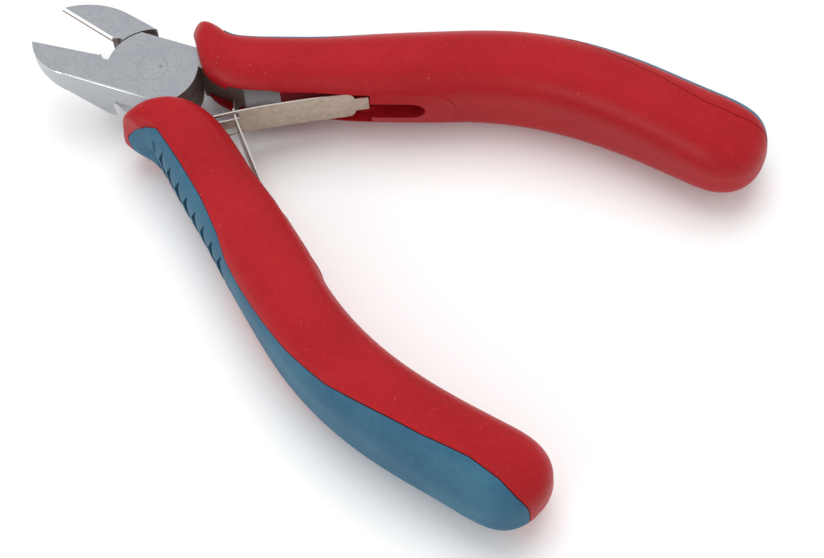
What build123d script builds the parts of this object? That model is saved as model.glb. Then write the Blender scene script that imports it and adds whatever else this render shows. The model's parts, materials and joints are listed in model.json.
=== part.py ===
from build123d import *
import math
import os

# Precision side cutter lying flat, jaws towards +X, opened by two crossing leaf springs.
# Everything is drawn with the joint axis at the origin and the handles closed, then each
# half is swung out by half of the opening angle and the whole is stood on its grips.
# Sizes are in millimetres and degrees.

# Head and lap joint
open_half = 10.57
head_half = 4.1
lap_gap = 0.06
disc_radius = 7.88
disc_gap = 0.25
flank = 6.25
upper_bevel = 0.1
lower_bevel = 0.22

# Cutting edges
cut_angle = 5.1
cut_offset = -0.67
edge_width = 0.35
edge_drop = 0.9
edge_land = 0.12
relief_slope = 0.56
edge_root = 9.75
upper_tip = 22.4
lower_tip = 21.5
heel_x = 7.0
tip_floor = 2.7

# Joint pin
pin_radius = 2.6
pin_play = 0.03

# Grips
corner_share = 0.8
tang_face = 1.5
inlay_depth = 2.6
inlay_reach = 4.0
seam = 0.15
tail_x = -100.4
grip_gap = 0.35
clear_half = head_half + grip_gap
clear_length = 11
window_half = 2.97
window_end = -21.9
window_floor = 4.5
pocket_half = 3.75
slot_half = 2.3
slot_depth = 4.6
slot_front = -34.2
slot_back = -46.2
pad_half = 3.9
pad_front = -32.0
pad_back = -51.0
pad_rise = 0.4
marks = 9
mark_front = -8.9
mark_pitch = 3.12
mark_depth = 0.6
mark_length = 1.9
mark_height = 4.35
mark_rake = 2.1

# Leaf springs
leaf_half = 3.2
leaf_thick = 0.5
nose_len = 5.0
nose_half = 1.95
seat_radius = 0.75
seat_play = 0.4
rail = 0.6
bar = 1.15
prong_gap = 0.25
window_start, window_stop = 1.15, 5.4
fork_start, fork_stop = 1.4, 5.8
stub_start = 3.85
tab_top = -0.9

tall = 12
wide = 40
cut_dir = Vector(math.cos(math.radians(cut_angle)), math.sin(math.radians(cut_angle)))


def on_cut(x):
    return (x, cut_offset + math.tan(math.radians(cut_angle)) * x)


# Stations of the grip: x, inner y, outer y, half height
stations = [
    (-3.7, 8.4, 9.8, 3.4),
    (-4.4, 7.6, 10.0, 5.5),
    (-5.8, 5.9, 10.0, 7.0),
    (-8.2, 2.6, 10.0, 7.5),
    (-11.7, 0.5, 10.9, 7.2),
    (-17.9, 0.5, 13.3, 6.9),
    (-26.0, 2.9, 16.2, 6.8),
    (-34.4, 5.6, 19.4, 7.2),
    (-44.0, 8.8, 22.9, 7.6),
    (-56.0, 12.9, 26.6, 8.0),
    (-68.0, 14.6, 28.2, 8.1),
    (-80.0, 13.7, 27.8, 7.8),
    (-91.0, 11.5, 26.5, 7.0),
    (-97.0, 11.0, 25.6, 6.1),
    (-100.4, 12.4, 24.1, 4.9),
    (-102.3, 14.9, 21.5, 3.1),
    (-102.9, 17.1, 19.4, 1.0),
]


def between(x, column):
    for a, b in zip(stations, stations[1:]):
        if b[0] <= x <= a[0]:
            t = (x - a[0]) / (b[0] - a[0])
            return a[column] + t * (b[column] - a[column])
    return stations[-1][column]


def section_plane(x, y=0):
    return Plane(origin=(x, y, 0), x_dir=(0, 1, 0), z_dir=(-1, 0, 0))


# Body of the grip: one smooth loft through rounded sections
with BuildPart() as grip_body:
    for x, y_in, y_out, half_height in stations:
        with BuildSketch(section_plane(x, (y_in + y_out) / 2)):
            width = y_out - y_in
            RectangleRounded(width, 2 * half_height, corner_share * min(width / 2, half_height))
    loft()

# Steel tang inside the grip, seen from above
with BuildSketch() as tang_plan:
    with BuildLine():
        inner = Line((-7.4, 2.7), (-16.0, tang_face))
        bend = Spline(
            inner @ 1, (-19.0, 2.75), (-22.0, 3.9), (-30.0, 8.2), (-50.0, 16.2), (-66.0, 18.9), (-79.0, 18.6)
        )
        end = Line(bend @ 1, (-79.0, 22.2))
        back = Spline(
            end @ 1, (-66.0, 23.2), (-50.0, 20.6), (-34.0, 15.0), (-22.0, 10.2), (-12.0, 7.0), (-6.5, flank)
        )
        Polyline(back @ 1, (-3.0, flank), (-3.0, 2.7), inner @ 0)
    make_face()

# Flat-sided disc of the lap joint
with BuildSketch() as lap_plan:
    Circle(disc_radius)
    Rectangle(4 * disc_radius, 2 * flank, mode=Mode.INTERSECT)

# Jaw outlines of the closed tool: upper-lap half at +Y, lower-lap half at -Y
with BuildSketch() as upper_jaw_plan:
    with BuildLine():
        tip = on_cut(upper_tip)
        arc = ThreePointArc(tip, (20.2, 4.35), (13.9, 6.15))
        Polyline(arc @ 1, (8.0, flank), (0, flank), (0, 0.9), (7.7, 0.9), (8.7, 1.1), on_cut(edge_root), tip)
    make_face()

with BuildSketch() as lower_jaw_plan:
    with BuildLine():
        tip = on_cut(lower_tip)
        arc = ThreePointArc(tip, (18.5, -2.4), (11.3, -5.6))
        Polyline(
            arc @ 1, (6.5, -flank), (0, -flank), (0, -0.9), (7.7, -0.9), (8.8, -0.75), on_cut(edge_root), tip
        )
    make_face()

# Cross-section removed along the cutting edge: flush bevel above, long relief below
low = -head_half - 0.5
edge_z = head_half - edge_drop
land_z = edge_z - edge_land
reach = relief_slope * (land_z - low)


def edge_cutter(side):
    start = Vector(*on_cut(edge_root))
    plane = Plane(origin=start, x_dir=Vector(-cut_dir.Y, cut_dir.X) * side, z_dir=cut_dir * side)
    with BuildPart() as cutter:
        with BuildSketch(plane):
            with BuildLine():
                Polyline(
                    (0, edge_z), (edge_width, head_half), (edge_width, head_half + 1), (-3, head_half + 1),
                    (-3, low), (reach, low), (0, land_z), (0, edge_z),
                )
            make_face()
        extrude(amount=20 * side)
    return cutter.part


# Underside rising towards the tips
with BuildPart() as taper:
    with BuildSketch(Plane.XZ):
        with BuildLine():
            Polyline(
                (heel_x, -head_half), (22.0, tip_floor), (30, tip_floor), (30, low), (heel_x, low), close=True
            )
        make_face()
    extrude(amount=tall, both=True)


def forged_half(jaw, tang, side, bevel):
    """One half of the tool, its lap on the side of the Z axis given by the sign."""
    with BuildPart() as half:
        with BuildSketch():
            add(jaw)
            add(tang)
        extrude(amount=head_half, both=True)
        with BuildSketch(Plane.XY.offset(side * lap_gap / 2)):
            Circle(disc_radius + disc_gap)
        extrude(amount=-side * 2 * head_half, mode=Mode.SUBTRACT)
        with BuildSketch(Plane.XY.offset(side * lap_gap / 2)):
            add(lap_plan.sketch)
        extrude(amount=side * (head_half - lap_gap / 2))
        add(edge_cutter(side), mode=Mode.SUBTRACT)
        add(taper.part, mode=Mode.SUBTRACT)
        rims = half.edges().filter_by(GeomType.CIRCLE).group_by(Axis.Z)[-1]
        chamfer(rims.sort_by(Axis.X)[-1], bevel)
    return half.part


near_tang = tang_plan.sketch
far_tang = mirror(tang_plan.sketch, about=Plane.XZ)
upper = forged_half(upper_jaw_plan.sketch, far_tang, 1, upper_bevel)
lower = forged_half(lower_jaw_plan.sketch, near_tang, -1, lower_bevel)

# Joint pin, ground flush with both faces
with BuildPart() as pin:
    with BuildSketch(Plane.XY.offset(-head_half)):
        Circle(pin_radius)
    extrude(amount=2 * head_half)

with BuildPart() as upper_half:
    add(upper)
    with BuildSketch(Plane.XY.offset(-head_half)):
        Circle(pin_radius + pin_play)
    extrude(amount=2 * head_half, mode=Mode.SUBTRACT)

with BuildPart() as lower_half:
    add(lower)
    with BuildSketch(Plane.XY.offset(-head_half)):
        Circle(pin_radius)
    extrude(amount=2 * head_half, mode=Mode.SUBTRACT)


def swing(point, angle):
    a = math.radians(angle)
    x, y = point
    return (x * math.cos(a) - y * math.sin(a), x * math.sin(a) + y * math.cos(a))


# Middle lines of the leaf springs, where they stand with the tool open
leaf_root = (-13.7, 3.7)
leaf_mid = (-22.18, -4.36)
leaf_end = (-32.6, -12.75)
second_root = (-13.7, -3.7)
second_bend = (-19.0, 2.1)
second_end = (-32.6, 12.75)
first_bow = [ThreePointArc(leaf_root, leaf_mid, leaf_end)]
second_run = Line(second_bend, second_end)
second_bow = [TangentArc(second_bend, second_root, tangent=second_run % 0 * -1), second_run]

# Seat for the root of a leaf spring, in the frame of the closed grip
seat_x, seat_y = swing(leaf_root, open_half)

# Edge of the soft inlay on the upper side of the grip, from its nose to its tail
seam_line = [
    (-4.9, 10.0, 0.3),
    (-5.6, 10.0, 2.0),
    (-7.1, 10.0, 4.4),
    (-8.6, 9.6, 5.9),
    (-10.3, 9.2, 6.4),
    (-13.0, 9.9, 6.0),
    (-18.0, 11.3, 5.85),
    (-26.0, 14.06, 5.76),
    (-33.2, 17.4, 5.5),
    (-37.3, 19.8, 4.5),
    (-41.8, 21.58, 4.35),
    (-46.1, 23.0, 4.65),
    (-56.7, 25.66, 5.77),
    (-66.1, 26.35, 6.65),
    (-73.6, 25.3, 7.35),
    (-83.4, 23.4, 7.36),
    (-91.5, 21.3, 6.94),
    (-97.2, 20.85, 6.05),
    (-100.4, 21.0, 4.8),
    (-104.5, 21.0, 4.8),
]


def inlay_space(grow):
    """Wedge of space that the soft inlay fills, its edge moved outwards by grow."""
    with BuildPart() as space:
        for i, (x, y, z) in enumerate(seam_line):
            y_in, y_out, half_height = (between(max(x, tail_x), column) for column in (1, 2, 3))
            radius = corner_share * min((y_out - y_in) / 2, half_height)
            sideways = max(y - y_out + radius, 0.15 * radius)
            outward = Vector(sideways, max(z - half_height + radius, 0)).normalized()
            edge = Vector(y, z) + Vector(-outward.Y, outward.X) * grow
            top = edge + outward * inlay_reach
            bed = edge - outward * (inlay_depth + grow)
            with BuildSketch(section_plane(x + (grow if i == 0 else 0))):
                with BuildLine():
                    bed_z = max(bed.Y, 0.2)
                    Polyline(
                        (bed.X, bed_z), (top.X, top.Y), (wide, top.Y), (wide, -top.Y), (top.X, -top.Y),
                        (bed.X, -bed_z), close=True,
                    )
                make_face()
        loft(ruled=True)
    return space.part


# Thumb marks: nine shallow arrow-shaped steps on the front of the inlay
with BuildPart() as inlay:
    add(grip_body.part)
    add(inlay_space(0), mode=Mode.INTERSECT)
    for i in range(marks):
        x = mark_front - mark_pitch * i
        y = between(x, 2)
        y_end = between(x - mark_length, 2)
        lean = Vector(-mark_rake, between(x - mark_rake, 2) - y, mark_height)
        for leg in (lean, Vector(lean.X, lean.Y, -lean.Z)):
            with BuildSketch():
                with BuildLine():
                    Polyline(
                        (x, y - mark_depth), (x, y + 1.5), (x - mark_length, y_end + 1.5),
                        (x - mark_length, y_end + 0.02), close=True,
                    )
                make_face()
            extrude(amount=leg.length, dir=leg.normalized(), mode=Mode.SUBTRACT)


def inner_strip(xs, depth_front, depth_back):
    """Strip along the inner side of the grip, from depth_front to depth_back below its surface."""
    near = [(x, between(x, 1) + depth_front) for x in xs]
    far = [(x, between(x, 1) + depth_back) for x in reversed(xs)]
    with BuildSketch() as strip:
        with BuildLine():
            Polyline(*near, *far, close=True)
        make_face()
    return strip.sketch


# Raised pad round the slot
with BuildPart() as pad:
    with BuildSketch(Plane.XZ):
        with Locations(((pad_front + pad_back) / 2, 0)):
            SlotOverall(pad_front - pad_back, 2 * pad_half)
    extrude(amount=-wide)
    with BuildSketch():
        add(inner_strip((-31.0, -36.0, -41.0, -46.0, -52.0), -pad_rise, 3))
    extrude(amount=tall, both=True, mode=Mode.INTERSECT)

# Slot that the end of the opposite spring slides in
with BuildPart() as slot:
    with BuildSketch(Plane.XZ):
        with Locations(((slot_front + slot_back) / 2, 0)):
            SlotOverall(slot_front - slot_back, 2 * slot_half)
    extrude(amount=-wide)
    with BuildSketch():
        add(inner_strip((-34.0, -40.0, -48.0), -6, slot_depth))
    extrude(amount=tall, both=True, mode=Mode.INTERSECT)

# Hollow that the opposite spring lies in when the tool is closed
hollow_line = [
    (-13.9, 0.8), (-16.4, 1.0), (-17.0, 1.5), (-19.0, 2.45), (-21.0, 3.3), (-23.0, 4.0), (-26.0, 5.1),
    (-29.0, 6.1), (-32.0, 7.15), (-34.0, 7.85), (-37.4, 8.95),
]

# Hard shell of the grip
with BuildPart() as shell:
    add(grip_body.part)
    add(pad.part)
    with BuildSketch(Plane.XY.offset(-head_half)):
        add(tang_plan.sketch)
    extrude(amount=2 * head_half, mode=Mode.SUBTRACT)
    with BuildSketch(Plane.XY.offset(-clear_half)):
        Circle(disc_radius + grip_gap)
        Rectangle(clear_length, 2 * (flank + grip_gap))
    extrude(amount=2 * clear_half, mode=Mode.SUBTRACT)
    # window that bares the tang between the two flanges
    with BuildSketch(Plane.XY.offset(-window_half)):
        with BuildLine():
            Polyline(
                (-5.0, -3), (window_end, -3), (window_end, window_floor), (-5.0, window_floor), close=True
            )
        make_face()
    extrude(amount=2 * window_half, mode=Mode.SUBTRACT)
    with BuildSketch(Plane.XY.offset(-pocket_half)):
        with BuildLine():
            bed = Polyline(*hollow_line)
            Polyline(bed @ 1, (hollow_line[-1][0], -3), (hollow_line[0][0], -3), bed @ 0)
        make_face()
    extrude(amount=2 * pocket_half, mode=Mode.SUBTRACT)

with BuildPart() as seat:
    with BuildSketch(Plane.XY.offset(-leaf_half - seat_play)):
        with Locations((seat_x, seat_y)):
            Circle(seat_radius)
    extrude(amount=2 * (leaf_half + seat_play))

with BuildPart() as grip:
    add(shell.part)
    add(slot.part, mode=Mode.SUBTRACT)
    add(inlay_space(seam), mode=Mode.SUBTRACT)
    add(seat.part, mode=Mode.SUBTRACT)


def leaf(root, end, cuts, bow):
    """Bent strip along the edges of bow, with a narrow nose and square cuts given as x0, x1, z0, z1."""
    chord = (Vector(*end) - Vector(*root)).normalized()
    flat = (Vector(*end) - Vector(*root)).length
    side = Plane(origin=root, x_dir=chord, z_dir=chord.cross(Vector(0, 0, 1)))
    tip = flat + nose_len
    with BuildPart() as strip:
        with BuildSketch(Plane.XY.offset(-leaf_half)):
            with BuildLine():
                add(bow)
                Line(bow[-1] @ 1, bow[-1] @ 1 + (bow[-1] % 1) * nose_len)
            trace(line_width=leaf_thick)
        extrude(amount=2 * leaf_half)
        with BuildSketch(side):
            with BuildLine():
                Polyline(
                    (-1, leaf_half), (flat - 1.6, leaf_half), (flat, leaf_half - 1.1), (flat, nose_half),
                    (tip - 0.9, nose_half), (tip + 1, nose_half - 1.2), (tip + 1, -nose_half + 1.2),
                    (tip - 0.9, -nose_half), (flat, -nose_half), (flat, -leaf_half + 1.1),
                    (flat - 1.6, -leaf_half), (-1, -leaf_half), close=True,
                )
            make_face()
            for x0, x1, z0, z1 in cuts:
                with Locations(((x0 + x1) / 2, (z0 + z1) / 2)):
                    Rectangle(x1 - x0, z1 - z0, mode=Mode.SUBTRACT)
        extrude(amount=6, both=True, mode=Mode.INTERSECT)
    return strip.part


# First spring: a strip with two windows. Second spring: a fork whose prongs pass through them.
first_leaf = leaf(
    leaf_root,
    leaf_end,
    [
        (window_start, window_stop, bar, leaf_half - rail),
        (window_start, window_stop, -leaf_half + rail, -bar),
    ],
    first_bow,
)
prong = leaf_half - rail - prong_gap
second_leaf = leaf(
    second_root,
    second_end,
    [
        (fork_start, fork_stop, -bar - prong_gap, bar + prong_gap),
        (-2, fork_stop, prong, leaf_half + 1),
        (fork_start, fork_stop, -leaf_half - 1, -prong),
        (-2, stub_start, tab_top, leaf_half),
    ],
    second_bow,
)


def biggest(part):
    return part.solids().sort_by(SortBy.VOLUME)[-1]


# Swing the halves open
to_upper = Rot(0, 0, open_half)
to_lower = Rot(0, 0, -open_half)
flip = Plane.XZ
nodes = {
    "upper_lap_half": to_upper * upper_half.part,
    "lower_lap_half": to_lower * lower_half.part,
    "joint_pin": to_lower * pin.part,
    "upper_grip_shell": to_upper * mirror(biggest(grip.part), about=flip),
    "lower_grip_shell": to_lower * biggest(grip.part),
    "upper_grip_inlay": to_upper * mirror(biggest(inlay.part), about=flip),
    "lower_grip_inlay": to_lower * biggest(inlay.part),
    "first_leaf_spring": first_leaf,
    "second_leaf_spring": second_leaf,
}

whole = Compound(children=[Compound(n.wrapped) for n in nodes.values()]).bounding_box()
home = Pos(-(whole.min.X + whole.max.X) / 2, -(whole.min.Y + whole.max.Y) / 2, -whole.min.Z)
os.makedirs("parts", exist_ok=True)
for name, shape in nodes.items():
    placed = home * shape
    placed.label = name
    export_step(placed, f"parts/{name}.step")
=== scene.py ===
import json
import math

import bmesh
import bpy
from bpy.props import FloatProperty, FloatVectorProperty, PointerProperty
from mathutils import Matrix, Vector


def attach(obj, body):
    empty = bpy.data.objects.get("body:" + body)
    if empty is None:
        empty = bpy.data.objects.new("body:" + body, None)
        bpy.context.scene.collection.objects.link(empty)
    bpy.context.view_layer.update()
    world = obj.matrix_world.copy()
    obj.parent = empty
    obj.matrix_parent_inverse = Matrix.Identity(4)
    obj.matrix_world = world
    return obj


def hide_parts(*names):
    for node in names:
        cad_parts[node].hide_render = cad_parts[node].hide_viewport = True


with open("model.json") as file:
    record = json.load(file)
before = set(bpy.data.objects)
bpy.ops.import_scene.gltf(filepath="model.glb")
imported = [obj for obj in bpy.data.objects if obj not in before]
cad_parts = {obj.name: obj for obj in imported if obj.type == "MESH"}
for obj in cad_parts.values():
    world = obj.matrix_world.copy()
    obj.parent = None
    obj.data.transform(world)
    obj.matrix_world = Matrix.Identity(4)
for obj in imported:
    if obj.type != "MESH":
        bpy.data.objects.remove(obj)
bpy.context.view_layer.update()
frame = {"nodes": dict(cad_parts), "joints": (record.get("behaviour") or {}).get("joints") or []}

bl_info = {
    "name": "Side Cutter Finish",
    "version": (1, 1, 0),
    "blender": (4, 5, 0),
    "location": "View3D > Sidebar > Side Cutter",
    "description": "Finishes a small side cutter with ground jaws and two-colour grips",
    "category": "Object",
}

NODES = frame["nodes"]
HINGE = Vector(next(j for j in frame["joints"] if j["name"] == "jaw_pivot")["pos_m"])
MM = 0.001

# Places on a half are in millimetres: along the closed half from the joint towards the tips,
# across it or out from its middle, and up from the middle of the joint. A pair is the two ends
# of a stretch or of an eased step, and a four is a rise and a fall.

# Each half stands swung out from the closed tool by this angle, one to each side
HALF_OPEN = math.radians(10.57)

# How level a face is, from 0 on a wall to 1 on a lap face: milled walls and honed bevels
WALL_LEVEL = (0.15, 0.3)
BEVEL_LEVEL = (0.28, 0.33, 0.8, 0.95)

# Cutting edges: their line, the width of the dark line of painted shade along them, and where it
# begins
CUT_OFFSET = -0.67
CUT_ANGLE = math.radians(5.1)
CUT_SHADE_WIDTH = (0.07, 0.13)
CUT_FROM = (9.0, 9.6)

# Dark forging skin round the disc, and painted shade in the same dark tone along the neck: round
# the disc, along the neck, and between the half's ground flanks
DISC_RADIUS = (9.0, 9.4)
NECK_SHADE_ALONG = (-16.4, -15.8, -8.0, -7.0)
SKIN_ACROSS = (5.9, 6.15)

# Outer edge of each jaw, painted bright with the polish colour as a painted highlight, and eased
# by a wider shading bevel
OUTER_HIGHLIGHT_ALONG = (-3.0, 4.0, 13.4, 14.4)
OUTER_HIGHLIGHT_ACROSS = (5.85, 6.05)
OUTER_HIGHLIGHT_UP = (3.9, 4.05)

# Hardness mark on the tang, along and up, and mark on the pin, along and across, each with the
# distances of its ring from there
TEST_MARK = (-17.25, -0.9)
TEST_RING = (0.2, 0.3, 0.4, 0.5)
PIN_MARK = (-1.2, -0.9)
PIN_MARK_RING = (0.1, 0.2, 0.22, 0.3)

# Inner side of the grip beside the slot: along, inner edge, width and half height. The radius
# of its corner is a share of half its smaller side.
GRIP_FLANK = (
    (-26.0, 2.9, 13.3, 6.8),
    (-34.4, 5.6, 13.8, 7.2),
    (-44.0, 8.8, 14.1, 7.6),
    (-56.0, 12.9, 13.7, 8.0),
)
GRIP_CORNER = 0.8

# Radius that the edges of shells and inlays are shaded with
GRIP_EASED = 0.12

# The mould's parting line shows behind this place
PARTING_ALONG = (-47.5, -47.0)

# Slot for the end of a leaf: where its walls are drawn together, and the share of its height
# that stays, as of the height of the leaf's nose
SLOT_ALONG = (-48.0, -31.0)
SLOT_TALL = 2.6
SLOT_DEEP = 2.0
SLOT_SHARE = 0.84

# Pad round the slot, which sinks into the flank, and the lip that stays proud of it
PAD_ALONG = (-51.4, -31.6)
PAD_TALL = 4.0
PAD_PROUD = 0.03
LIP_ALONG = (-46.3, -34.1)
LIP_TALL = 2.05
LIP_PROUD = 0.2

# Rim of the slot, painted darker as painted shade: the slot's middle, half its straight run, and
# the rim's distance
SLOT_MIDDLE = -40.2
SLOT_STRAIGHT = 4.1
SLOT_RIM_SHADE = (1.96, 2.02, 2.16, 2.32)

# Soft swelling of the flank round the slot
SWELL = 0.35
SWELL_ALONG = (-53.0, -48.0, -34.0, -29.5)
SWELL_TALL = (3.5, 6.8)
SWELL_DEEP = (1.5, 4.0)

# Nose of the grip: its bulge all over, more of it low down, and less right at the bottom
NOSE_ALONG = (-11.5, -7.0)
NOSE_OUT = (6.5, 9.5)
NOSE_BULGE = 0.8
NOSE_LOW_BULGE = 0.8
NOSE_LOW = (-2.0, 5.0)
NOSE_TUCK = 1.7
NOSE_BOTTOM = (-5.8, -2.0)

# Window of the far grip: its upper lip is raised, its lower flange is set back, and it is
# shaded under the tang
WINDOW_RAISE = 0.6
WINDOW_UP = (1.0, 2.9, 3.0, 6.5)
WINDOW_FROM = (-23.5, -21.0)
WINDOW_OUT = (3.5, 5.5)
FLANGE_SHIFT = 3.5
FLANGE_UP = (-3.4, -2.9)
FLANGE_FROM = (-15.5, -12.5)
FLANGE_OUT = (4.0, 7.5)
SHADE_FROM = (-23.0, -19.0)
SHADE_UP = (-3.4, -2.8)
SHADE_ACROSS = (8.5, 9.5)

# Seam of the inlay round the nose, evened out where its edges turn by more than the angle
SEAM_TURN = math.radians(38)
SEAM_ALONG = -10.5
SEAM_OUT = 7.0
SEAM_UP = -8.0
SEAM_ROUNDS = 60

# Seam on the far grip's rear half: its start, its run and a direction out of the surface, the
# size of the box that cuts it, how far the red shoulder above it laps over its neighbours, and
# where the shoulder's edges aren't eased
SHOULDER_START = (-66.1, 26.36, 6.66)
SHOULDER_RUN = (-29.9, -2.76, -1.01)
SHOULDER_OUT = (0.0, 0.6, 0.8)
SHOULDER_BOX = (45, 30, 12)
SHOULDER_LAP = 0.07
SHOULDER_ALONG = (-67.0, -65.5)
SHOULDER_UP = (4.0, 4.4)

# Leaf springs: how far their middle line goes on past its given end, and the share of their
# thickness that stays. The rest is along a leaf from that line's first point, 1 mm past the
# solid's tip: where the nose is cut off, how far and how high it is drawn together, and the
# shoulders, which are set back by a share.
LEAF_LEAD = 6.0
LEAF_SHARE = 0.56
LEAF_CUT = 3.6
LEAF_NOSE = 7.0
LEAF_NOSE_TALL = 2.0
LEAF_SHOULDER = (6.0, 8.0)
LEAF_SHOULDER_SHIFT = 0.6

# Middle part of a noise, from which its patches are drawn
MIDDLE = (0.3, 0.7)

# The camera's place from the joint in metres, and its axes
CAMERA_FROM_HINGE = Vector((-0.1787, 0.16666, 0.32077))
CAMERA_RIGHT = Vector((-0.8481, -0.5262, -0.0618))
CAMERA_BACK = Vector((-0.3178, 0.412, 0.854))


def tint(red, green, blue):
    """Linear colour from 0 to 255 screen values."""
    linear = []
    for value in (red, green, blue):
        c = value / 255
        linear.append(c / 12.92 if c <= 0.04045 else ((c + 0.055) / 1.055) ** 2.4)
    return tuple(linear)


def colour(name, description, default):
    return FloatVectorProperty(
        name=name, description=description, subtype="COLOR", size=3, min=0, max=1, default=default
    )


def share(name, description, default):
    return FloatProperty(
        name=name, description=description, subtype="FACTOR", min=0, max=1, default=default
    )


def length(name, description, default):
    return FloatProperty(
        name=name,
        description=description,
        subtype="DISTANCE",
        unit="LENGTH",
        min=0,
        precision=5,
        default=default,
    )


def power(name, description, default):
    return FloatProperty(
        name=name, description=description, subtype="POWER", unit="POWER", min=0, default=default
    )


class CutterSteel(bpy.types.PropertyGroup):
    """Ground, polished and dark forged faces of the two halves"""

    face_low: colour("Face, low tone", "Ground faces where the grain is dull", tint(183, 187, 195))
    face_high: colour(
        "Face, high tone", "Ground faces where the grain is bright", tint(216, 219, 224)
    )
    # The bright polish colour belongs to the honed bevels, and is also used to paint highlights on
    # the edges
    polish_and_highlight: colour("Polished bevel", "Honed bevels along the cutting edges", tint(250, 250, 252))
    # Dark tone of the forging skin round the disc. It is also used for painted shade along the
    # neck and the cutting edges, and for the pin's mark
    oxide_and_shade: colour("Forging skin", "Dark unground walls round the lap joint", tint(142, 124, 114))
    wall: colour("Milled wall", "Side walls of jaws and tangs", tint(175, 178, 183))
    grain: length("Grain", "Pitch of the grinding lines", 0.12 * MM)
    # Edges painted bright with the polish colour: partly worn bright steel, partly painted
    # highlight
    edge: length("Edge wear", "Width of the bright worn line along the edges", 0.06 * MM)
    dull: share("Roughness", "Roughness of the ground faces", 0.36)


class CutterGrip(bpy.types.PropertyGroup):
    """Hard shells and soft inlays of the handles"""

    shade: colour("Shaded red", "Red under the tang, where little light comes", tint(74, 10, 18))
    red_low: colour("Red, low tone", "Shell where the moulding is darker", tint(149, 17, 25))
    red_high: colour("Red, high tone", "Shell where the moulding is lighter", tint(177, 29, 35))
    blue_low: colour("Blue, low tone", "Inlay where it is darker", tint(46, 89, 116))
    blue_high: colour("Blue, high tone", "Inlay where it is lighter", tint(64, 110, 132))
    dust: colour("Dust", "Fine specks caught in the moulded grain", tint(232, 196, 186))
    grain: length("Grain", "Pitch of the moulded grain", 0.3 * MM)
    parting: length("Parting line", "Width of the mould's parting line", 0.07 * MM)
    dull_red: share("Shell roughness", "Roughness of the hard shell", 0.42)
    dull_blue: share("Inlay roughness", "Roughness of the soft inlay", 0.58)


class CutterSpring(bpy.types.PropertyGroup):
    """Nickel-tinted strip of the leaf springs"""

    strip_low: colour("Strip, low tone", "Broad faces, darker", tint(170, 153, 137))
    strip_high: colour("Strip, high tone", "Broad faces, lighter", tint(202, 188, 173))
    # The rim colour and the edge width paint the strip's edges bright as a painted highlight
    rim: colour("Rim", "Sheared edges of the strip", tint(246, 242, 236))
    edge: length("Edge", "Width of the bright line along the strip's edges", 0.09 * MM)
    dull: share("Roughness", "Roughness of the strip", 0.34)


class CutterStudio(bpy.types.PropertyGroup):
    """Floor, sky light, lamps and camera"""

    floor: colour("Floor", "Colour of the pale floor", tint(254, 254, 254))
    sky: FloatProperty(name="Sky", description="Strength of the even light", min=0, default=0.68)
    key: power("Key", "Overhead lamp", 3.9)
    fill: power("Fill", "Low lamp in front", 1.0)
    lens: FloatProperty(
        name="Lens",
        description="Focal length",
        subtype="DISTANCE_CAMERA",
        unit="CAMERA",
        min=1,
        default=101.44,
    )


class Value:
    """A node socket that takes part in an expression."""

    def __init__(self, graph, socket):
        self.graph = graph
        self.socket = socket

    def _math(self, operation, *numbers):
        return self.graph.node(
            "ShaderNodeMath", {"operation": operation}, dict(enumerate(numbers))
        )

    def __add__(self, other):
        return self._math("ADD", self, other)

    def __radd__(self, other):
        return self._math("ADD", other, self)

    def __sub__(self, other):
        return self._math("SUBTRACT", self, other)

    def __rsub__(self, other):
        return self._math("SUBTRACT", other, self)

    def __mul__(self, other):
        return self._math("MULTIPLY", self, other)

    def __rmul__(self, other):
        return self._math("MULTIPLY", other, self)

    def __abs__(self):
        return self._math("ABSOLUTE", self)

    def most(self, other):
        """The larger of the two."""
        return self._math("MAXIMUM", self, other)

    def distance(self, other):
        """Length of the two taken as the sides of a right angle."""
        return self._math("SQRT", self * self + other * other)

    def rise(self, low, high):
        """0 at low and 1 at high, eased between them and held outside."""
        return self.graph.node(
            "ShaderNodeMapRange",
            {"interpolation_type": "SMOOTHSTEP", "clamp": True},
            {"Value": self, "From Min": low, "From Max": high, "To Min": 0.0, "To Max": 1.0},
        )

    def fall(self, low, high):
        """1 at low and 0 at high, eased between them and held outside."""
        return 1 - self.rise(low, high)

    def band(self, foot, top, end, last):
        """Rises from foot to top, stays, and falls from end to last."""
        return self.rise(foot, top) * self.fall(end, last)


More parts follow.
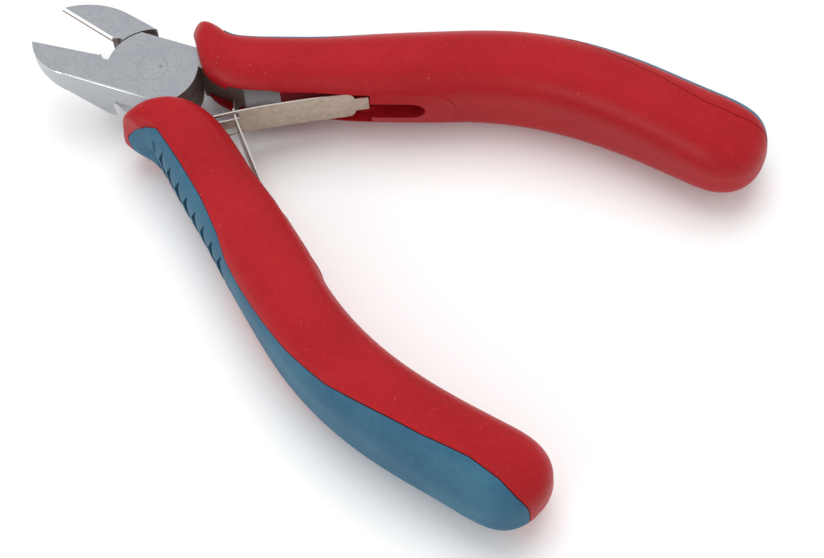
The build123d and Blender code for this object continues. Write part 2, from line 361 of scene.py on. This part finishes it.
class Graph:
    """The nodes of one material."""

    def __init__(self, name):
        self.material = bpy.data.materials.new(name)
        self.material.use_nodes = True
        self.tree = self.material.node_tree
        self.shader = self.tree.nodes["Principled BSDF"]
        self.place = self.node("ShaderNodeTexCoord", {}, {}, "Object")
        self.normal = self.node("ShaderNodeNewGeometry", {}, {}, "Normal")

    def node(self, kind, settings, inputs, output=0):
        made = self.tree.nodes.new(kind)
        for key, value in settings.items():
            setattr(made, key, value)
        for key, value in inputs.items():
            if isinstance(value, Value):
                self.tree.links.new(value.socket, made.inputs[key])
            else:
                made.inputs[key].default_value = value
        return Value(self, made.outputs[output])

    def parts(self, vector):
        split = self.node("ShaderNodeSeparateXYZ", {}, {"Vector": vector}).socket.node
        return [Value(self, split.outputs[axis]) for axis in "XYZ"]

    def local(self, swing):
        """Millimetres along the closed half, across it and up from the joint's middle."""
        places = zip(self.parts(self.place), HINGE)
        x, y, z = ((value - centre) * (1 / MM) for value, centre in places)
        c, s = math.cos(swing), math.sin(swing)
        return x * c + y * s, y * c - x * s, z

    def noise(self, pitch, detail=2.0, rough=0.5, stretch=(1.0, 1.0, 1.0), turn=0.0, shift=0.0):
        """Noise with features of about the pitch, in metres, drawn out along one of its axes."""
        mapped = self.node(
            "ShaderNodeMapping",
            {"vector_type": "POINT"},
            {
                "Vector": self.place,
                "Location": (shift,) * 3,
                "Rotation": (0.0, 0.0, turn),
                "Scale": stretch,
            },
        )
        return self.node(
            "ShaderNodeTexNoise",
            {"noise_dimensions": "3D"},
            {"Vector": mapped, "Scale": 1 / pitch, "Detail": detail, "Roughness": rough},
            "Fac",
        )

    def mix(self, factor, low, high):
        """Colour between two others, each a property's colour or another mix."""
        low, high = (c if isinstance(c, Value) else (*c, 1.0) for c in (low, high))
        return self.node("ShaderNodeMix", {"data_type": "RGBA"}, {0: factor, 6: low, 7: high}, 2)

    def feed(self, **values):
        """Links or sets the shader's sockets, named with underscores for spaces."""
        for key, value in values.items():
            target = self.shader.inputs[key.replace("_", " ")]
            if isinstance(value, Value):
                self.tree.links.new(value.socket, target)
            else:
                target.default_value = value

    def rounded(self, radius):
        """Normal of the surface with its edges eased over by the radius."""
        return self.node("ShaderNodeBevel", {"samples": 8}, {"Radius": radius}, "Normal")

    def edges(self, radius):
        """0 on open faces, rising on the edges."""
        dot = self.node(
            "ShaderNodeVectorMath",
            {"operation": "DOT_PRODUCT"},
            {0: self.rounded(radius), 1: self.normal},
            "Value",
        )
        return (1 - dot).rise(0.02, 0.25)

    def bump(self, height, distance, strength, radius):
        """Fine relief over eased edges."""
        eased = self.rounded(radius)
        relief = {"Height": height, "Distance": distance, "Strength": strength, "Normal": eased}
        self.feed(Normal=self.node("ShaderNodeBump", {}, relief, "Normal"))


def ease(value, low, high):
    """0 at low and 1 at high, eased between them and held outside."""
    t = min(max((value - low) / (high - low), 0.0), 1.0)
    return t * t * (3 - 2 * t)


def fade(value, low, high):
    """1 at low and 0 at high, eased between them and held outside."""
    return 1 - ease(value, low, high)


def hill(value, foot, top, end, last):
    """Rises from foot to top, stays, and falls from end to last."""
    return ease(value, foot, top) * fade(value, end, last)


def measured(point, swing):
    """Millimetres along the closed half, out from its middle and up, of a point."""
    side = 1 if swing < 0 else -1
    c, s = math.cos(swing), math.sin(swing)
    x, y, z = (point - HINGE) / MM
    return x * c + y * s, side * (y * c - x * s), z


def turned(along, out, height, swing):
    """Vector in millimetres for a distance along the closed half, out from its middle and up."""
    side = 1 if swing < 0 else -1
    c, s = math.cos(swing), math.sin(swing)
    across = out * side
    return Vector((along * c - across * s, along * s + across * c, height))


def select_only(piece):
    bpy.ops.object.select_all(action="DESELECT")
    piece.select_set(True)
    bpy.context.view_layer.objects.active = piece


def edit_all(piece):
    """Opens the piece alone in edit mode with everything selected."""
    select_only(piece)
    bpy.ops.object.mode_set(mode="EDIT")
    bpy.ops.mesh.select_all(action="SELECT")


def copied(node, name):
    """Merged copy of a CAD node as a piece of its own, with clean normals."""
    piece = bpy.data.objects.new(name, NODES[node].data.copy())
    bpy.context.scene.collection.objects.link(piece)
    select_only(piece)
    bpy.ops.mesh.customdata_custom_splitnormals_clear()
    edit_all(piece)
    bpy.ops.mesh.remove_doubles(threshold=0.002 * MM)
    bpy.ops.object.mode_set(mode="OBJECT")
    return piece


def stand_in(piece, node, body, graph, angle):
    """Shades the piece, gives it its material and puts it in the node's place."""
    select_only(piece)
    bpy.ops.object.shade_smooth_by_angle(angle=math.radians(angle))
    piece.data.materials.clear()
    piece.data.materials.append(graph.material)
    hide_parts(node)
    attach(piece, body)


def flank(along, height):
    """Inner surface of the grip beside the slot, out from the middle, without its pad."""
    for (x1, y1, w1, h1), (x0, y0, w0, h0) in zip(GRIP_FLANK, GRIP_FLANK[1:]):
        if x0 <= along <= x1:
            t = (along - x1) / (x0 - x1)
            inner, width, tall = y1 + t * (y0 - y1), w1 + t * (w0 - w1), h1 + t * (h0 - h1)
            radius = GRIP_CORNER * min(width / 2, tall)
            over = max(abs(height) - (tall - radius), 0.0)
            return inner + radius - math.sqrt(max(radius * radius - over * over, 0.0))
    return None


def calm_flank(along, out, height, surface):
    """Draws the slot together, sinks the pad round it, and swells the flank softly."""
    start, end = SLOT_ALONG
    if start < along < end and abs(height) < SLOT_TALL and out < surface + SLOT_DEEP:
        height *= SLOT_SHARE
    start, end = PAD_ALONG
    if start < along < end and abs(height) < PAD_TALL and out < surface - PAD_PROUD:
        lip = abs(height) < LIP_TALL and LIP_ALONG[0] < along < LIP_ALONG[1]
        out = surface - (LIP_PROUD if lip else 0.0)
    near = fade(out - surface, *SWELL_DEEP) * fade(abs(height), *SWELL_TALL)
    return out - SWELL * hill(along, *SWELL_ALONG) * near, height


def nose_bulge(along, out, height):
    """How much further out a point of the nose lies."""
    bulge = NOSE_BULGE + NOSE_LOW_BULGE * fade(height, *NOSE_LOW)
    bulge -= NOSE_TUCK * fade(height, *NOSE_BOTTOM)
    return ease(along, *NOSE_ALONG) * ease(out, *NOSE_OUT) * bulge


def open_window(along, out, height):
    """Raises the upper lip of the window and sets its lower flange back."""
    raised = hill(height, *WINDOW_UP) * ease(along, *WINDOW_FROM) * fade(out, *WINDOW_OUT)
    height += WINDOW_RAISE * raised
    back = fade(height, *FLANGE_UP) * ease(along, *FLANGE_FROM) * fade(out, *FLANGE_OUT)
    return out + FLANGE_SHIFT * back, height


def reshape(piece, swing):
    """Moves the points of a grip to its fuller nose, soft flank and, on the far grip, window."""
    for point in piece.data.vertices:
        along, out, height = measured(point.co, swing)
        surface = flank(along, height)
        if surface is not None:
            out, height = calm_flank(along, out, height, surface)
        out += nose_bulge(along, out, height)
        if swing > 0:
            out, height = open_window(along, out, height)
        point.co = HINGE + turned(along, out, height, swing) * MM
    piece.data.update()


def even_seam(piece, swing):
    """Evens out the inlay's seam round the nose."""
    mesh = bmesh.new()
    mesh.from_mesh(piece.data)
    sharp = {}
    for edge in mesh.edges:
        if len(edge.link_faces) == 2 and edge.calc_face_angle(0.0) > SEAM_TURN:
            first, second = edge.verts
            sharp.setdefault(first, []).append(second)
            sharp.setdefault(second, []).append(first)

    def inward(vert):
        _, out, height = measured(vert.co, swing)
        return -out ** 2 - height ** 2

    seam = {}
    for vert, near in sharp.items():
        along, out, height = measured(vert.co, swing)
        if along > SEAM_ALONG and out > SEAM_OUT and height > SEAM_UP and len(near) >= 2:
            seam[vert] = sorted(near, key=inward)[:2]
    for _ in range(SEAM_ROUNDS):
        moved = {v: v.co * 0.5 + (a.co + b.co) * 0.25 for v, (a, b) in seam.items()}
        for vert, co in moved.items():
            vert.co = co
    mesh.to_mesh(piece.data)
    mesh.free()
    piece.data.update()


def shaped(node, name, swing):
    """Copy of a part of a grip, fitted at its nose, flank and window."""
    piece = copied(node, name)
    even_seam(piece, swing)
    reshape(piece, swing)
    return piece


def shoulder_box():
    """Box whose lower face lies on the seam of the far grip's rear half."""
    bpy.ops.object.select_all(action="DESELECT")
    bpy.ops.mesh.primitive_cube_add(size=1.0)
    box = bpy.context.object
    run = turned(*SHOULDER_RUN, HALF_OPEN).normalized()
    normal = run.cross(turned(*SHOULDER_OUT, HALF_OPEN)).normalized()
    if normal.z < 0:
        normal = -normal
    axes = (run, normal.cross(run), normal)
    start = HINGE + turned(*SHOULDER_START, HALF_OPEN) * MM
    for point in box.data.vertices:
        shares = (point.co.x + 0.5, point.co.y, point.co.z + 0.5)
        reach = sum((a * t * size for a, t, size in zip(axes, shares, SHOULDER_BOX)), Vector())
        point.co = start + reach * MM
    box.data.update()
    return box


def parted(piece, operation):
    """Keeps the part of the piece inside (INTERSECT) or outside (DIFFERENCE) the shoulder box."""
    box = shoulder_box()
    cut = piece.modifiers.new("Shoulder", "BOOLEAN")
    cut.operation = operation
    cut.solver = "EXACT"
    cut.object = box
    select_only(piece)
    bpy.ops.object.modifier_apply(modifier=cut.name)
    bpy.data.objects.remove(box, do_unlink=True)


def add_shoulder(shell):
    """Joins the part of the far inlay above the seam to the far shell."""
    shoulder = shaped("upper_grip_inlay", "upper_shoulder", HALF_OPEN)
    parted(shoulder, "INTERSECT")
    edit_all(shoulder)
    bpy.ops.transform.shrink_fatten(value=SHOULDER_LAP * MM)
    bpy.ops.object.mode_set(mode="OBJECT")
    select_only(shell)
    shoulder.select_set(True)
    bpy.ops.object.join()


def bow_points(root, bend, end):
    """Middle line of a leaf spring: straight past its end to the bend, then an arc to the root."""
    root, bend, end = Vector(root), Vector(bend), Vector(end)
    run = (bend - end).normalized()
    chord = root - bend
    across = Vector((-run.y, run.x))
    centre = bend + across * (chord.length_squared / (2 * chord.dot(across)))
    spoke = bend - centre
    turn = spoke.angle_signed(root - centre)
    steps = 40
    straight = [end + (bend - end) * i / steps for i in range(steps)]
    arc = []
    for i in range(steps + 1):
        c, s = math.cos(-turn * i / steps), math.sin(-turn * i / steps)
        arc.append(centre + Vector((spoke.x * c - spoke.y * s, spoke.x * s + spoke.y * c)))
    return [end - run * LEAF_LEAD, *straight, *arc]


# Middle lines of the two leaves, in millimetres from the joint in the open tool
LEAF_LINES = {
    "first": bow_points((-13.7, 3.7), (-22.18, -4.36), (-32.6, -12.75)),
    "second": bow_points((-13.7, -3.7), (-19.0, 2.1), (-32.6, 12.75)),
}


def nearest(line, flat):
    """Nearest point of the line, and the line's direction there."""
    feet = []
    for a, b in zip(line, line[1:]):
        t = min(max((flat - a).dot(b - a) / (b - a).length_squared, 0.0), 1.0)
        foot = a + (b - a) * t
        feet.append(((flat - foot).length, foot, (b - a).normalized()))
    return min(feet, key=lambda found: found[0])[1:]


def thin_leaf(piece, line):
    """Thins a strip towards its middle line, steepens its shoulders and trims its nose."""
    start, back = line[0], (line[1] - line[0]).normalized()
    for point in piece.data.vertices:
        place = (point.co - HINGE) / MM
        flat, height = place.xy, place.z
        foot, run = nearest(line, flat)
        off = flat - foot
        moved = flat - (off - run * off.dot(run)) * (1 - LEAF_SHARE)
        reach = (flat - start).dot(back)
        if reach < LEAF_NOSE and abs(height) < LEAF_NOSE_TALL:
            height *= SLOT_SHARE
        if LEAF_SHOULDER[0] < reach < LEAF_SHOULDER[1]:
            moved -= back * (reach - LEAF_SHOULDER[0]) * LEAF_SHOULDER_SHIFT
        point.co = HINGE + Vector((moved.x, moved.y, height)) * MM
    tip = start + back * LEAF_CUT
    edit_all(piece)
    bpy.ops.mesh.bisect(
        plane_co=HINGE + Vector((tip.x, tip.y, 0.0)) * MM,
        plane_no=(back.x, back.y, 0.0),
        use_fill=True,
        clear_inner=True,
    )
    bpy.ops.object.mode_set(mode="OBJECT")


def dress(node, graph):
    """Gives a CAD node its material."""
    slots = NODES[node].data.materials
    slots.clear()
    slots.append(graph.material)


def ground_face(g, steel, swing):
    """Tone of a ground face, and the lines, clouds and flecks that make it."""
    lines = g.noise(steel.grain, 3.0, 0.6, (0.05, 1.0, 1.0), -swing)
    cloud = g.noise(2.2 * MM, 3.0, 0.6)
    fleck = g.noise(0.45 * MM, 2.0, 0.6)
    blend = cloud.rise(*MIDDLE) * 0.2 + fleck.rise(*MIDDLE) * 0.4 + lines * 0.4
    return g.mix(blend, steel.face_low, steel.face_high), lines, cloud, fleck


def forged_steel(name, steel, swing):
    """Ground faces, honed bevels, milled walls, dark forged faces round the joint, painted shade
    behind the disc and along the cutting edges, and painted highlights on the edges, of one half.
    """
    g = Graph(name)
    along, across, height = g.local(swing)
    tone, lines, cloud, fleck = ground_face(g, steel, swing)
    pits = g.noise(0.5 * MM, 3.0, 0.65, shift=0.2)
    edge_highlight = g.edges(steel.edge)
    level = abs(g.parts(g.normal)[2])
    side = 1 if swing > 0 else -1

    wall = level.fall(*WALL_LEVEL)
    bevel = level.band(*BEVEL_LEVEL)
    near = along.distance(across).fall(*DISC_RADIUS)
    neck_shade = along.band(*NECK_SHADE_ALONG)
    skin_and_neck_shade = wall * near.most(neck_shade) * abs(across).fall(*SKIN_ACROSS)
    cut_line = abs(across - (CUT_OFFSET + along * math.tan(CUT_ANGLE)))
    cut_edge_shade = cut_line.fall(*CUT_SHADE_WIDTH) * along.rise(*CUT_FROM)
    # Painted highlight along each jaw's outer edge
    outer_edge_highlight = (across * side).rise(*OUTER_HIGHLIGHT_ACROSS) * along.band(*OUTER_HIGHLIGHT_ALONG) * height.rise(*OUTER_HIGHLIGHT_UP)
    from_mark = (along - TEST_MARK[0]).distance(height - TEST_MARK[1])
    ring = wall * from_mark.band(*TEST_RING)

    tone = g.mix(wall * (0.75 + 0.25 * fleck), tone, steel.wall)
    tone = g.mix(bevel, tone, steel.polish_and_highlight)
    # Forging skin round the disc, and painted shade along the neck
    tone = g.mix(skin_and_neck_shade * (0.8 + 0.2 * pits.rise(0.4, 0.7)), tone, steel.oxide_and_shade)
    # Painted brightening: edges that are partly worn and partly painted highlight, the hardness
    # mark's ring, and the painted highlight of each jaw's outer edge
    tone = g.mix((edge_highlight * 0.6).most(ring * 0.5).most(outer_edge_highlight), tone, steel.polish_and_highlight)
    # Painted shade: a dark line along the cutting edges
    tone = g.mix(cut_edge_shade * wall.most(bevel), tone, steel.oxide_and_shade)

    rough = steel.dull + (lines - 0.5) * 0.1 + (cloud - 0.5) * 0.08
    rough = rough + skin_and_neck_shade * 0.3 - bevel.most(outer_edge_highlight) * 0.16
    g.feed(Base_Color=tone, Metallic=1.0, Roughness=rough)
    relief = lines * 0.5 + fleck * 0.2 + skin_and_neck_shade * pits * 2.5 + ring * 3
    g.bump(relief, 0.02 * MM, 0.6, steel.edge + outer_edge_highlight * 0.3 * MM)
    return g


def ground_pin(name, steel):
    """End face of the pin, ground with the lap faces, with its small centre mark."""
    g = Graph(name)
    along, across, _ = g.local(0.0)
    tone, lines, _, fleck = ground_face(g, steel, HALF_OPEN)
    from_mark = (along - PIN_MARK[0]).distance(across - PIN_MARK[1])
    mark = from_mark.fall(*PIN_MARK_RING[2:])
    tone = g.mix(from_mark.band(*PIN_MARK_RING), tone, steel.oxide_and_shade)
    g.feed(Base_Color=tone, Metallic=1.0, Roughness=steel.dull + (lines - 0.5) * 0.1)
    g.bump(lines * 0.5 + fleck * 0.2 - mark * 4.0, 0.02 * MM, 0.6, steel.edge)
    return g


def moulded_red(name, grip, swing):
    """Hard shell with fine moulded grain, specks of dust, the mould's parting line, painted shade
    round the slot's rim and, on the far shell, painted shade under the tang.
    """
    g = Graph(name)
    along, across, height = g.local(swing)
    tall = abs(height)
    broad = g.noise(14 * MM, 2.0, 0.5)
    mottle = g.noise(0.8 * MM, 3.0, 0.65)
    grain = g.noise(grip.grain, 2.0, 0.6)
    fleck = g.noise(0.5 * MM, 1.0, 0.5, shift=0.4)

    half_line = grip.parting / MM / 2
    line = tall.fall(half_line, 2 * half_line) * along.fall(*PARTING_ALONG)
    over = (abs(along - SLOT_MIDDLE) - SLOT_STRAIGHT).most(0.0)
    rim = over.distance(tall).band(*SLOT_RIM_SHADE)

    blend = broad.rise(*MIDDLE) * 0.3
    blend = blend + mottle.rise(0.25, 0.75) * 0.35 + grain.rise(0.2, 0.8) * 0.35
    tone = g.mix(blend, grip.red_low, grip.red_high)
    tone = g.mix(fleck.rise(0.76, 0.84) * 0.25, tone, grip.dust)
    # The mould's parting line, and painted shade round the slot's rim
    tone = g.mix((line * 0.6).most(rim * 0.35), tone, grip.red_low)
    eased = GRIP_EASED * MM
    if swing > 0:
        # Only the far shell is seen from inside, and has the joined shoulder
        under = along.rise(*SHADE_FROM) * height.fall(*SHADE_UP) * abs(across).fall(*SHADE_ACROSS)
        tone = g.mix(under * 0.75, tone, grip.shade)
        shoulder = along.fall(*SHOULDER_ALONG) * height.rise(*SHOULDER_UP)
        eased = (1 - shoulder) * (GRIP_EASED * MM)

    g.feed(
        Base_Color=tone,
        Roughness=grip.dull_red + (grain - 0.5) * 0.16 + (broad - 0.5) * 0.08,
        Specular_IOR_Level=0.2,
    )
    g.bump(grain * 0.7 + mottle * 0.3 + line * 2.0, 0.03 * MM, 0.5, eased)
    return g


def soft_blue(name, grip):
    """Matt rubbery inlay, its edges painted lighter as a painted highlight."""
    g = Graph(name)
    broad = g.noise(11 * MM, 2.0, 0.5, shift=0.1)
    mottle = g.noise(1.3 * MM, 3.0, 0.6)
    grain = g.noise(grip.grain, 2.0, 0.6)
    edge_highlight = g.edges(GRIP_EASED * MM)
    blend = broad.rise(*MIDDLE) * 0.5 + mottle.rise(*MIDDLE) * 0.3 + grain * 0.2
    tone = g.mix(blend, grip.blue_low, grip.blue_high)
    # Painted highlight: the edges are lighter
    tone = g.mix(edge_highlight * 0.3, tone, grip.blue_high)
    g.feed(
        Base_Color=tone,
        Roughness=grip.dull_blue + (grain - 0.5) * 0.14 + (mottle - 0.5) * 0.08,
        Specular_IOR_Level=0.2,
    )
    g.bump(grain * 0.8 + mottle * 0.2, 0.03 * MM, 0.45, GRIP_EASED * MM)
    return g


def spring_strip(name, spring):
    """Rolled strip with fine lines, and its edges painted bright as a painted highlight."""
    g = Graph(name)
    roll = g.noise(0.16 * MM, 3.0, 0.6, (1.0, 1.0, 0.12))
    cloud = g.noise(1.2 * MM, 3.0, 0.6)
    edge_highlight = g.edges(spring.edge)
    level = abs(g.parts(g.normal)[2]).rise(0.6, 0.9)
    tone = g.mix(cloud.rise(*MIDDLE) * 0.5 + roll * 0.5, spring.strip_low, spring.strip_high)
    # Painted highlight: the level top and bottom edges in the rim colour, the other edges half way
    # there
    tone = g.mix(level + edge_highlight * (1 - level) * 0.5, tone, spring.rim)
    rough = spring.dull + (roll - 0.5) * 0.14 + (cloud - 0.5) * 0.1
    g.feed(Base_Color=tone, Metallic=1.0, Roughness=rough)
    g.bump(roll * 0.6 + cloud * 0.4, 0.02 * MM, 0.5, spring.edge)
    return g


class CUTTER_OT_forged_halves(bpy.types.Operator):
    """Finish both forged halves with ground, honed, milled and dark forged faces"""

    bl_idname = "cutter.forged_halves"
    bl_label = "Forged Halves"

    def execute(self, context):
        steel = context.scene.cutter_steel
        dress("upper_lap_half", forged_steel("Forged steel, upper half", steel, HALF_OPEN))
        dress("lower_lap_half", forged_steel("Forged steel, lower half", steel, -HALF_OPEN))
        return {"FINISHED"}


class CUTTER_OT_joint_pin(bpy.types.Operator):
    """Finish the joint pin, ground flush with the lap faces"""

    bl_idname = "cutter.joint_pin"
    bl_label = "Joint Pin"

    def execute(self, context):
        dress("joint_pin", ground_pin("Ground steel, pin", context.scene.cutter_steel))
        return {"FINISHED"}


class CUTTER_OT_grip_shells(bpy.types.Operator):
    """Finish the hard red shells of both grips"""

    bl_idname = "cutter.grip_shells"
    bl_label = "Grip Shells"

    def execute(self, context):
        grip = context.scene.cutter_grip
        for body, swing in (("upper", HALF_OPEN), ("lower", -HALF_OPEN)):
            node = body + "_grip_shell"
            piece = shaped(node, body + "_shell", swing)
            if body == "upper":
                add_shoulder(piece)
            red = moulded_red("Moulded red, " + body, grip, swing)
            stand_in(piece, node, body, red, 35)
        return {"FINISHED"}


class CUTTER_OT_grip_inlays(bpy.types.Operator):
    """Finish the soft blue inlays of both grips"""

    bl_idname = "cutter.grip_inlays"
    bl_label = "Grip Inlays"

    def execute(self, context):
        grip = context.scene.cutter_grip
        for body, swing in (("upper", HALF_OPEN), ("lower", -HALF_OPEN)):
            node = body + "_grip_inlay"
            piece = shaped(node, body + "_inlay", swing)
            if body == "upper":
                parted(piece, "DIFFERENCE")
            stand_in(piece, node, body, soft_blue("Soft blue, " + body, grip), 30)
        return {"FINISHED"}


class CUTTER_OT_leaf_springs(bpy.types.Operator):
    """Finish the two crossing leaf springs"""

    bl_idname = "cutter.leaf_springs"
    bl_label = "Leaf Springs"

    def execute(self, context):
        spring = context.scene.cutter_spring
        for leaf, line in LEAF_LINES.items():
            node = leaf + "_leaf_spring"
            piece = copied(node, leaf + "_leaf")
            thin_leaf(piece, line)
            strip = spring_strip("Spring strip, " + leaf, spring)
            stand_in(piece, node, leaf + "_spring", strip, 25)
        return {"FINISHED"}


def lamp(name, direction, distance, size, energy, mirrored):
    """Square soft lamp that faces the joint from a direction, seen in the steel or not."""
    data = bpy.data.lights.new(name, "AREA")
    data.shape = "SQUARE"
    data.size = size
    data.energy = energy
    made = bpy.data.objects.new(name, data)
    bpy.context.scene.collection.objects.link(made)
    away = Vector(direction).normalized()
    made.location = HINGE + away * distance
    made.rotation_euler = away.to_track_quat("Z", "Y").to_euler()
    made.visible_glossy = mirrored


class CUTTER_OT_studio(bpy.types.Operator):
    """Set up the pale floor, the soft light and the camera"""

    bl_idname = "cutter.studio"
    bl_label = "Studio"

    def execute(self, context):
        studio = context.scene.cutter_studio
        bpy.ops.object.select_all(action="DESELECT")
        bpy.ops.mesh.primitive_plane_add(size=8.0, location=(0.0, 0.0, 0.0))
        floor = context.active_object
        floor.name = "Floor"
        g = Graph("Pale floor")
        mottle = g.noise(0.02, 2.0, 0.5)
        g.feed(Base_Color=(*studio.floor, 1.0), Roughness=0.55 + mottle * 0.05)
        floor.data.materials.append(g.material)

        world = bpy.data.worlds.new("Studio light")
        context.scene.world = world
        world.use_nodes = True
        sky = world.node_tree.nodes["Background"].inputs
        sky["Color"].default_value = (1.0, 1.0, 1.0, 1.0)
        sky["Strength"].default_value = studio.sky

        lamp("Soft lamp overhead", (0.15, -0.4, 1.0), 0.8, 0.7, studio.key, False)
        lamp("Soft lamp in front", (0.08, 0.88, 0.46), 0.7, 0.3, studio.fill, True)

        data = bpy.data.cameras.new("Camera")
        data.lens = studio.lens
        data.sensor_width = 36.0
        data.clip_start, data.clip_end = 0.01, 20.0
        camera = bpy.data.objects.new("Camera", data)
        context.scene.collection.objects.link(camera)
        back = CAMERA_BACK.normalized()
        up = back.cross(CAMERA_RIGHT).normalized()
        axes = Matrix((up.cross(back), up, back)).transposed().to_4x4()
        camera.matrix_world = Matrix.Translation(HINGE + CAMERA_FROM_HINGE) @ axes
        context.scene.camera = camera
        context.scene.view_settings.view_transform = "Standard"
        return {"FINISHED"}


STEPS = (
    CUTTER_OT_forged_halves,
    CUTTER_OT_joint_pin,
    CUTTER_OT_grip_shells,
    CUTTER_OT_grip_inlays,
    CUTTER_OT_leaf_springs,
    CUTTER_OT_studio,
)

GROUPS = {
    "cutter_steel": CutterSteel,
    "cutter_grip": CutterGrip,
    "cutter_spring": CutterSpring,
    "cutter_studio": CutterStudio,
}


class CUTTER_PT_panel(bpy.types.Panel):
    """Steps and settings of the side cutter"""

    bl_idname = "CUTTER_PT_panel"
    bl_label = "Side Cutter"
    bl_space_type = "VIEW_3D"
    bl_region_type = "UI"
    bl_category = "Side Cutter"

    def draw(self, context):
        for step in STEPS:
            self.layout.operator(step.bl_idname)
        for key in GROUPS:
            group = getattr(context.scene, key)
            box = self.layout.box()
            for name in group.__annotations__:
                box.prop(group, name)


CLASSES = (*GROUPS.values(), *STEPS, CUTTER_PT_panel)


def register():
    for cls in CLASSES:
        bpy.utils.register_class(cls)
    for key, group in GROUPS.items():
        setattr(bpy.types.Scene, key, PointerProperty(type=group))


def unregister():
    for key in GROUPS:
        delattr(bpy.types.Scene, key)
    for cls in reversed(CLASSES):
        bpy.utils.unregister_class(cls)


def main():
    register()
    bpy.ops.cutter.forged_halves()
    bpy.ops.cutter.joint_pin()
    bpy.ops.cutter.grip_shells()
    bpy.ops.cutter.grip_inlays()
    bpy.ops.cutter.leaf_springs()
    bpy.ops.cutter.studio()


if __name__ == "__main__":
    main()
